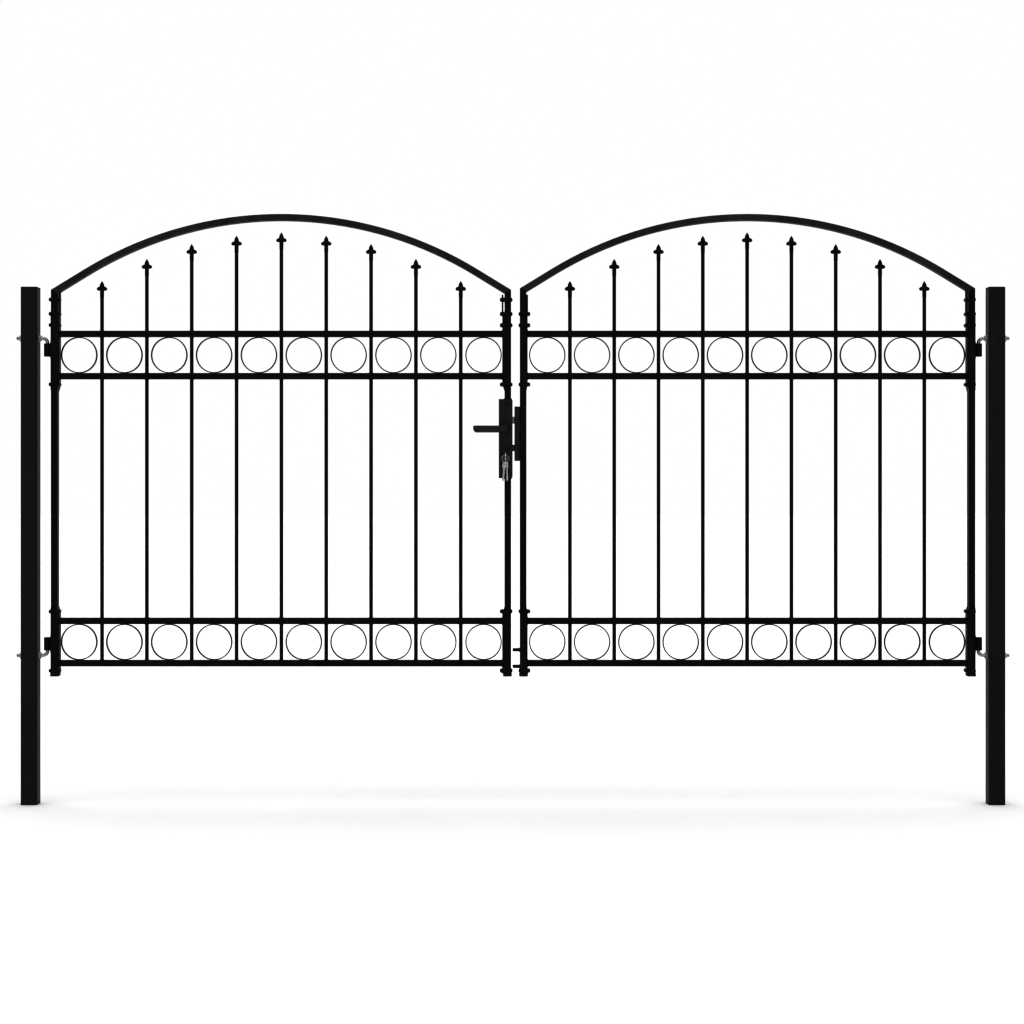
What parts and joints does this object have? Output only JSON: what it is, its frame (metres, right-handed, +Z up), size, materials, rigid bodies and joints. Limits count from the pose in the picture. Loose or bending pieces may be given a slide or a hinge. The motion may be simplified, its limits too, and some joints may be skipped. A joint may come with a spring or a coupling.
{
  "type": "double-leaf steel fence gate",
  "caption": "Arched double gate of black steel tube with spear-topped bars, ring bands, adjustable hinges and a lever lock, hung between two square posts.",
  "frame": {"origin": "centre of the left post's bottom face", "axes": "+X along the gate from the left post to the right post, +Y away from the viewer, the way the leaves open, +Z up"},
  "size_m": [3.034, 0.122, 1.802],
  "materials": {
    "post_coating": "semi-gloss black powder coat",
    "leaf_coating": "semi-gloss black powder coat",
    "lock_coating": "satin black paint",
    "lever_finish": "smooth black, satin",
    "cap_plastic": "moulded black plastic, fine texture",
    "zinc": "bright zinc plate",
    "bare_steel": "oiled steel",
    "nickel": "nickel plate, satin"
  },
  "bodies": {
    "posts": {"post_left": "post_coating", "post_right": "post_coating", "post_caps": "cap_plastic", "post_base_plugs": "cap_plastic", "left_hinge_bolts": "zinc", "right_hinge_bolts": "zinc", "left_hinge_nuts": "zinc", "right_hinge_nuts": "zinc"},
    "left_leaf": {"left_hinge_stile": "leaf_coating", "left_meeting_stile": "leaf_coating", "left_arch": "leaf_coating", "left_rails": "leaf_coating", "left_bars": "leaf_coating", "left_spears": "leaf_coating", "left_upper_rings": "leaf_coating", "left_lower_rings": "leaf_coating", "left_hinge_sleeves": "leaf_coating", "left_meeting_sleeves": "leaf_coating", "left_foot_caps": "cap_plastic", "left_hinge_barrels": "leaf_coating", "lock_case": "lock_coating", "lock_cylinder": "nickel"},
    "right_leaf": {"right_hinge_stile": "leaf_coating", "right_meeting_stile": "leaf_coating", "right_arch": "leaf_coating", "right_rails": "leaf_coating", "right_bars": "leaf_coating", "right_spears": "leaf_coating", "right_upper_rings": "leaf_coating", "right_lower_rings": "leaf_coating", "right_hinge_sleeves": "leaf_coating", "right_meeting_sleeves": "leaf_coating", "right_foot_caps": "cap_plastic", "right_hinge_barrels": "leaf_coating", "keep": "lock_coating", "drop_rod_guides": "leaf_coating"},
    "lever": {"lever_front": "lever_finish", "lever_back": "lever_finish", "spindle": "bare_steel"},
    "latch": {"latch_bolt": "zinc"},
    "key_set": {"lock_plug": "nickel", "key": "nickel", "key_ring": "nickel", "spare_keys": "nickel"},
    "dead_bolt_body": {"dead_bolt": "bare_steel"}
  },
  "joints": [
    {"name": "left_leaf_hinge", "type": "hinge", "parent": "posts", "child": "left_leaf", "pos_m": [0.052, 0, 1], "axis": [0, 0, 1], "range_deg": [0, 90]},
    {"name": "right_leaf_hinge", "type": "hinge", "parent": "posts", "child": "right_leaf", "pos_m": [2.898, 0, 1], "axis": [0, 0, -1], "range_deg": [0, 90]},
    {"name": "lever_turn", "type": "hinge", "parent": "left_leaf", "child": "lever", "pos_m": [1.4525, 0, 1.146], "axis": [0, -1, 0], "range_deg": [0, 40], "stiffness_Nm_per_rad": 1.2, "springref_deg": -28.65},
    {"name": "latch_slide", "type": "slide", "parent": "left_leaf", "child": "latch", "axis": [-1, 0, 0], "range_m": [0, 0.0138]},
    {"name": "key_turn", "type": "hinge", "parent": "left_leaf", "child": "key_set", "pos_m": [1.4521, 0, 1.055], "axis": [0, 1, 0], "range_deg": [0, 360]},
    {"name": "dead_bolt_slide", "type": "slide", "parent": "left_leaf", "child": "dead_bolt_body", "axis": [-1, 0, 0], "range_m": [0, 0.0153]}
  ],
  "couplings": [
    {"joint": "latch_slide", "follows": "lever_turn", "m_per_rad": 0.019765},
    {"joint": "dead_bolt_slide", "follows": "key_turn", "m_per_rad": 0.0024348}
  ]
}
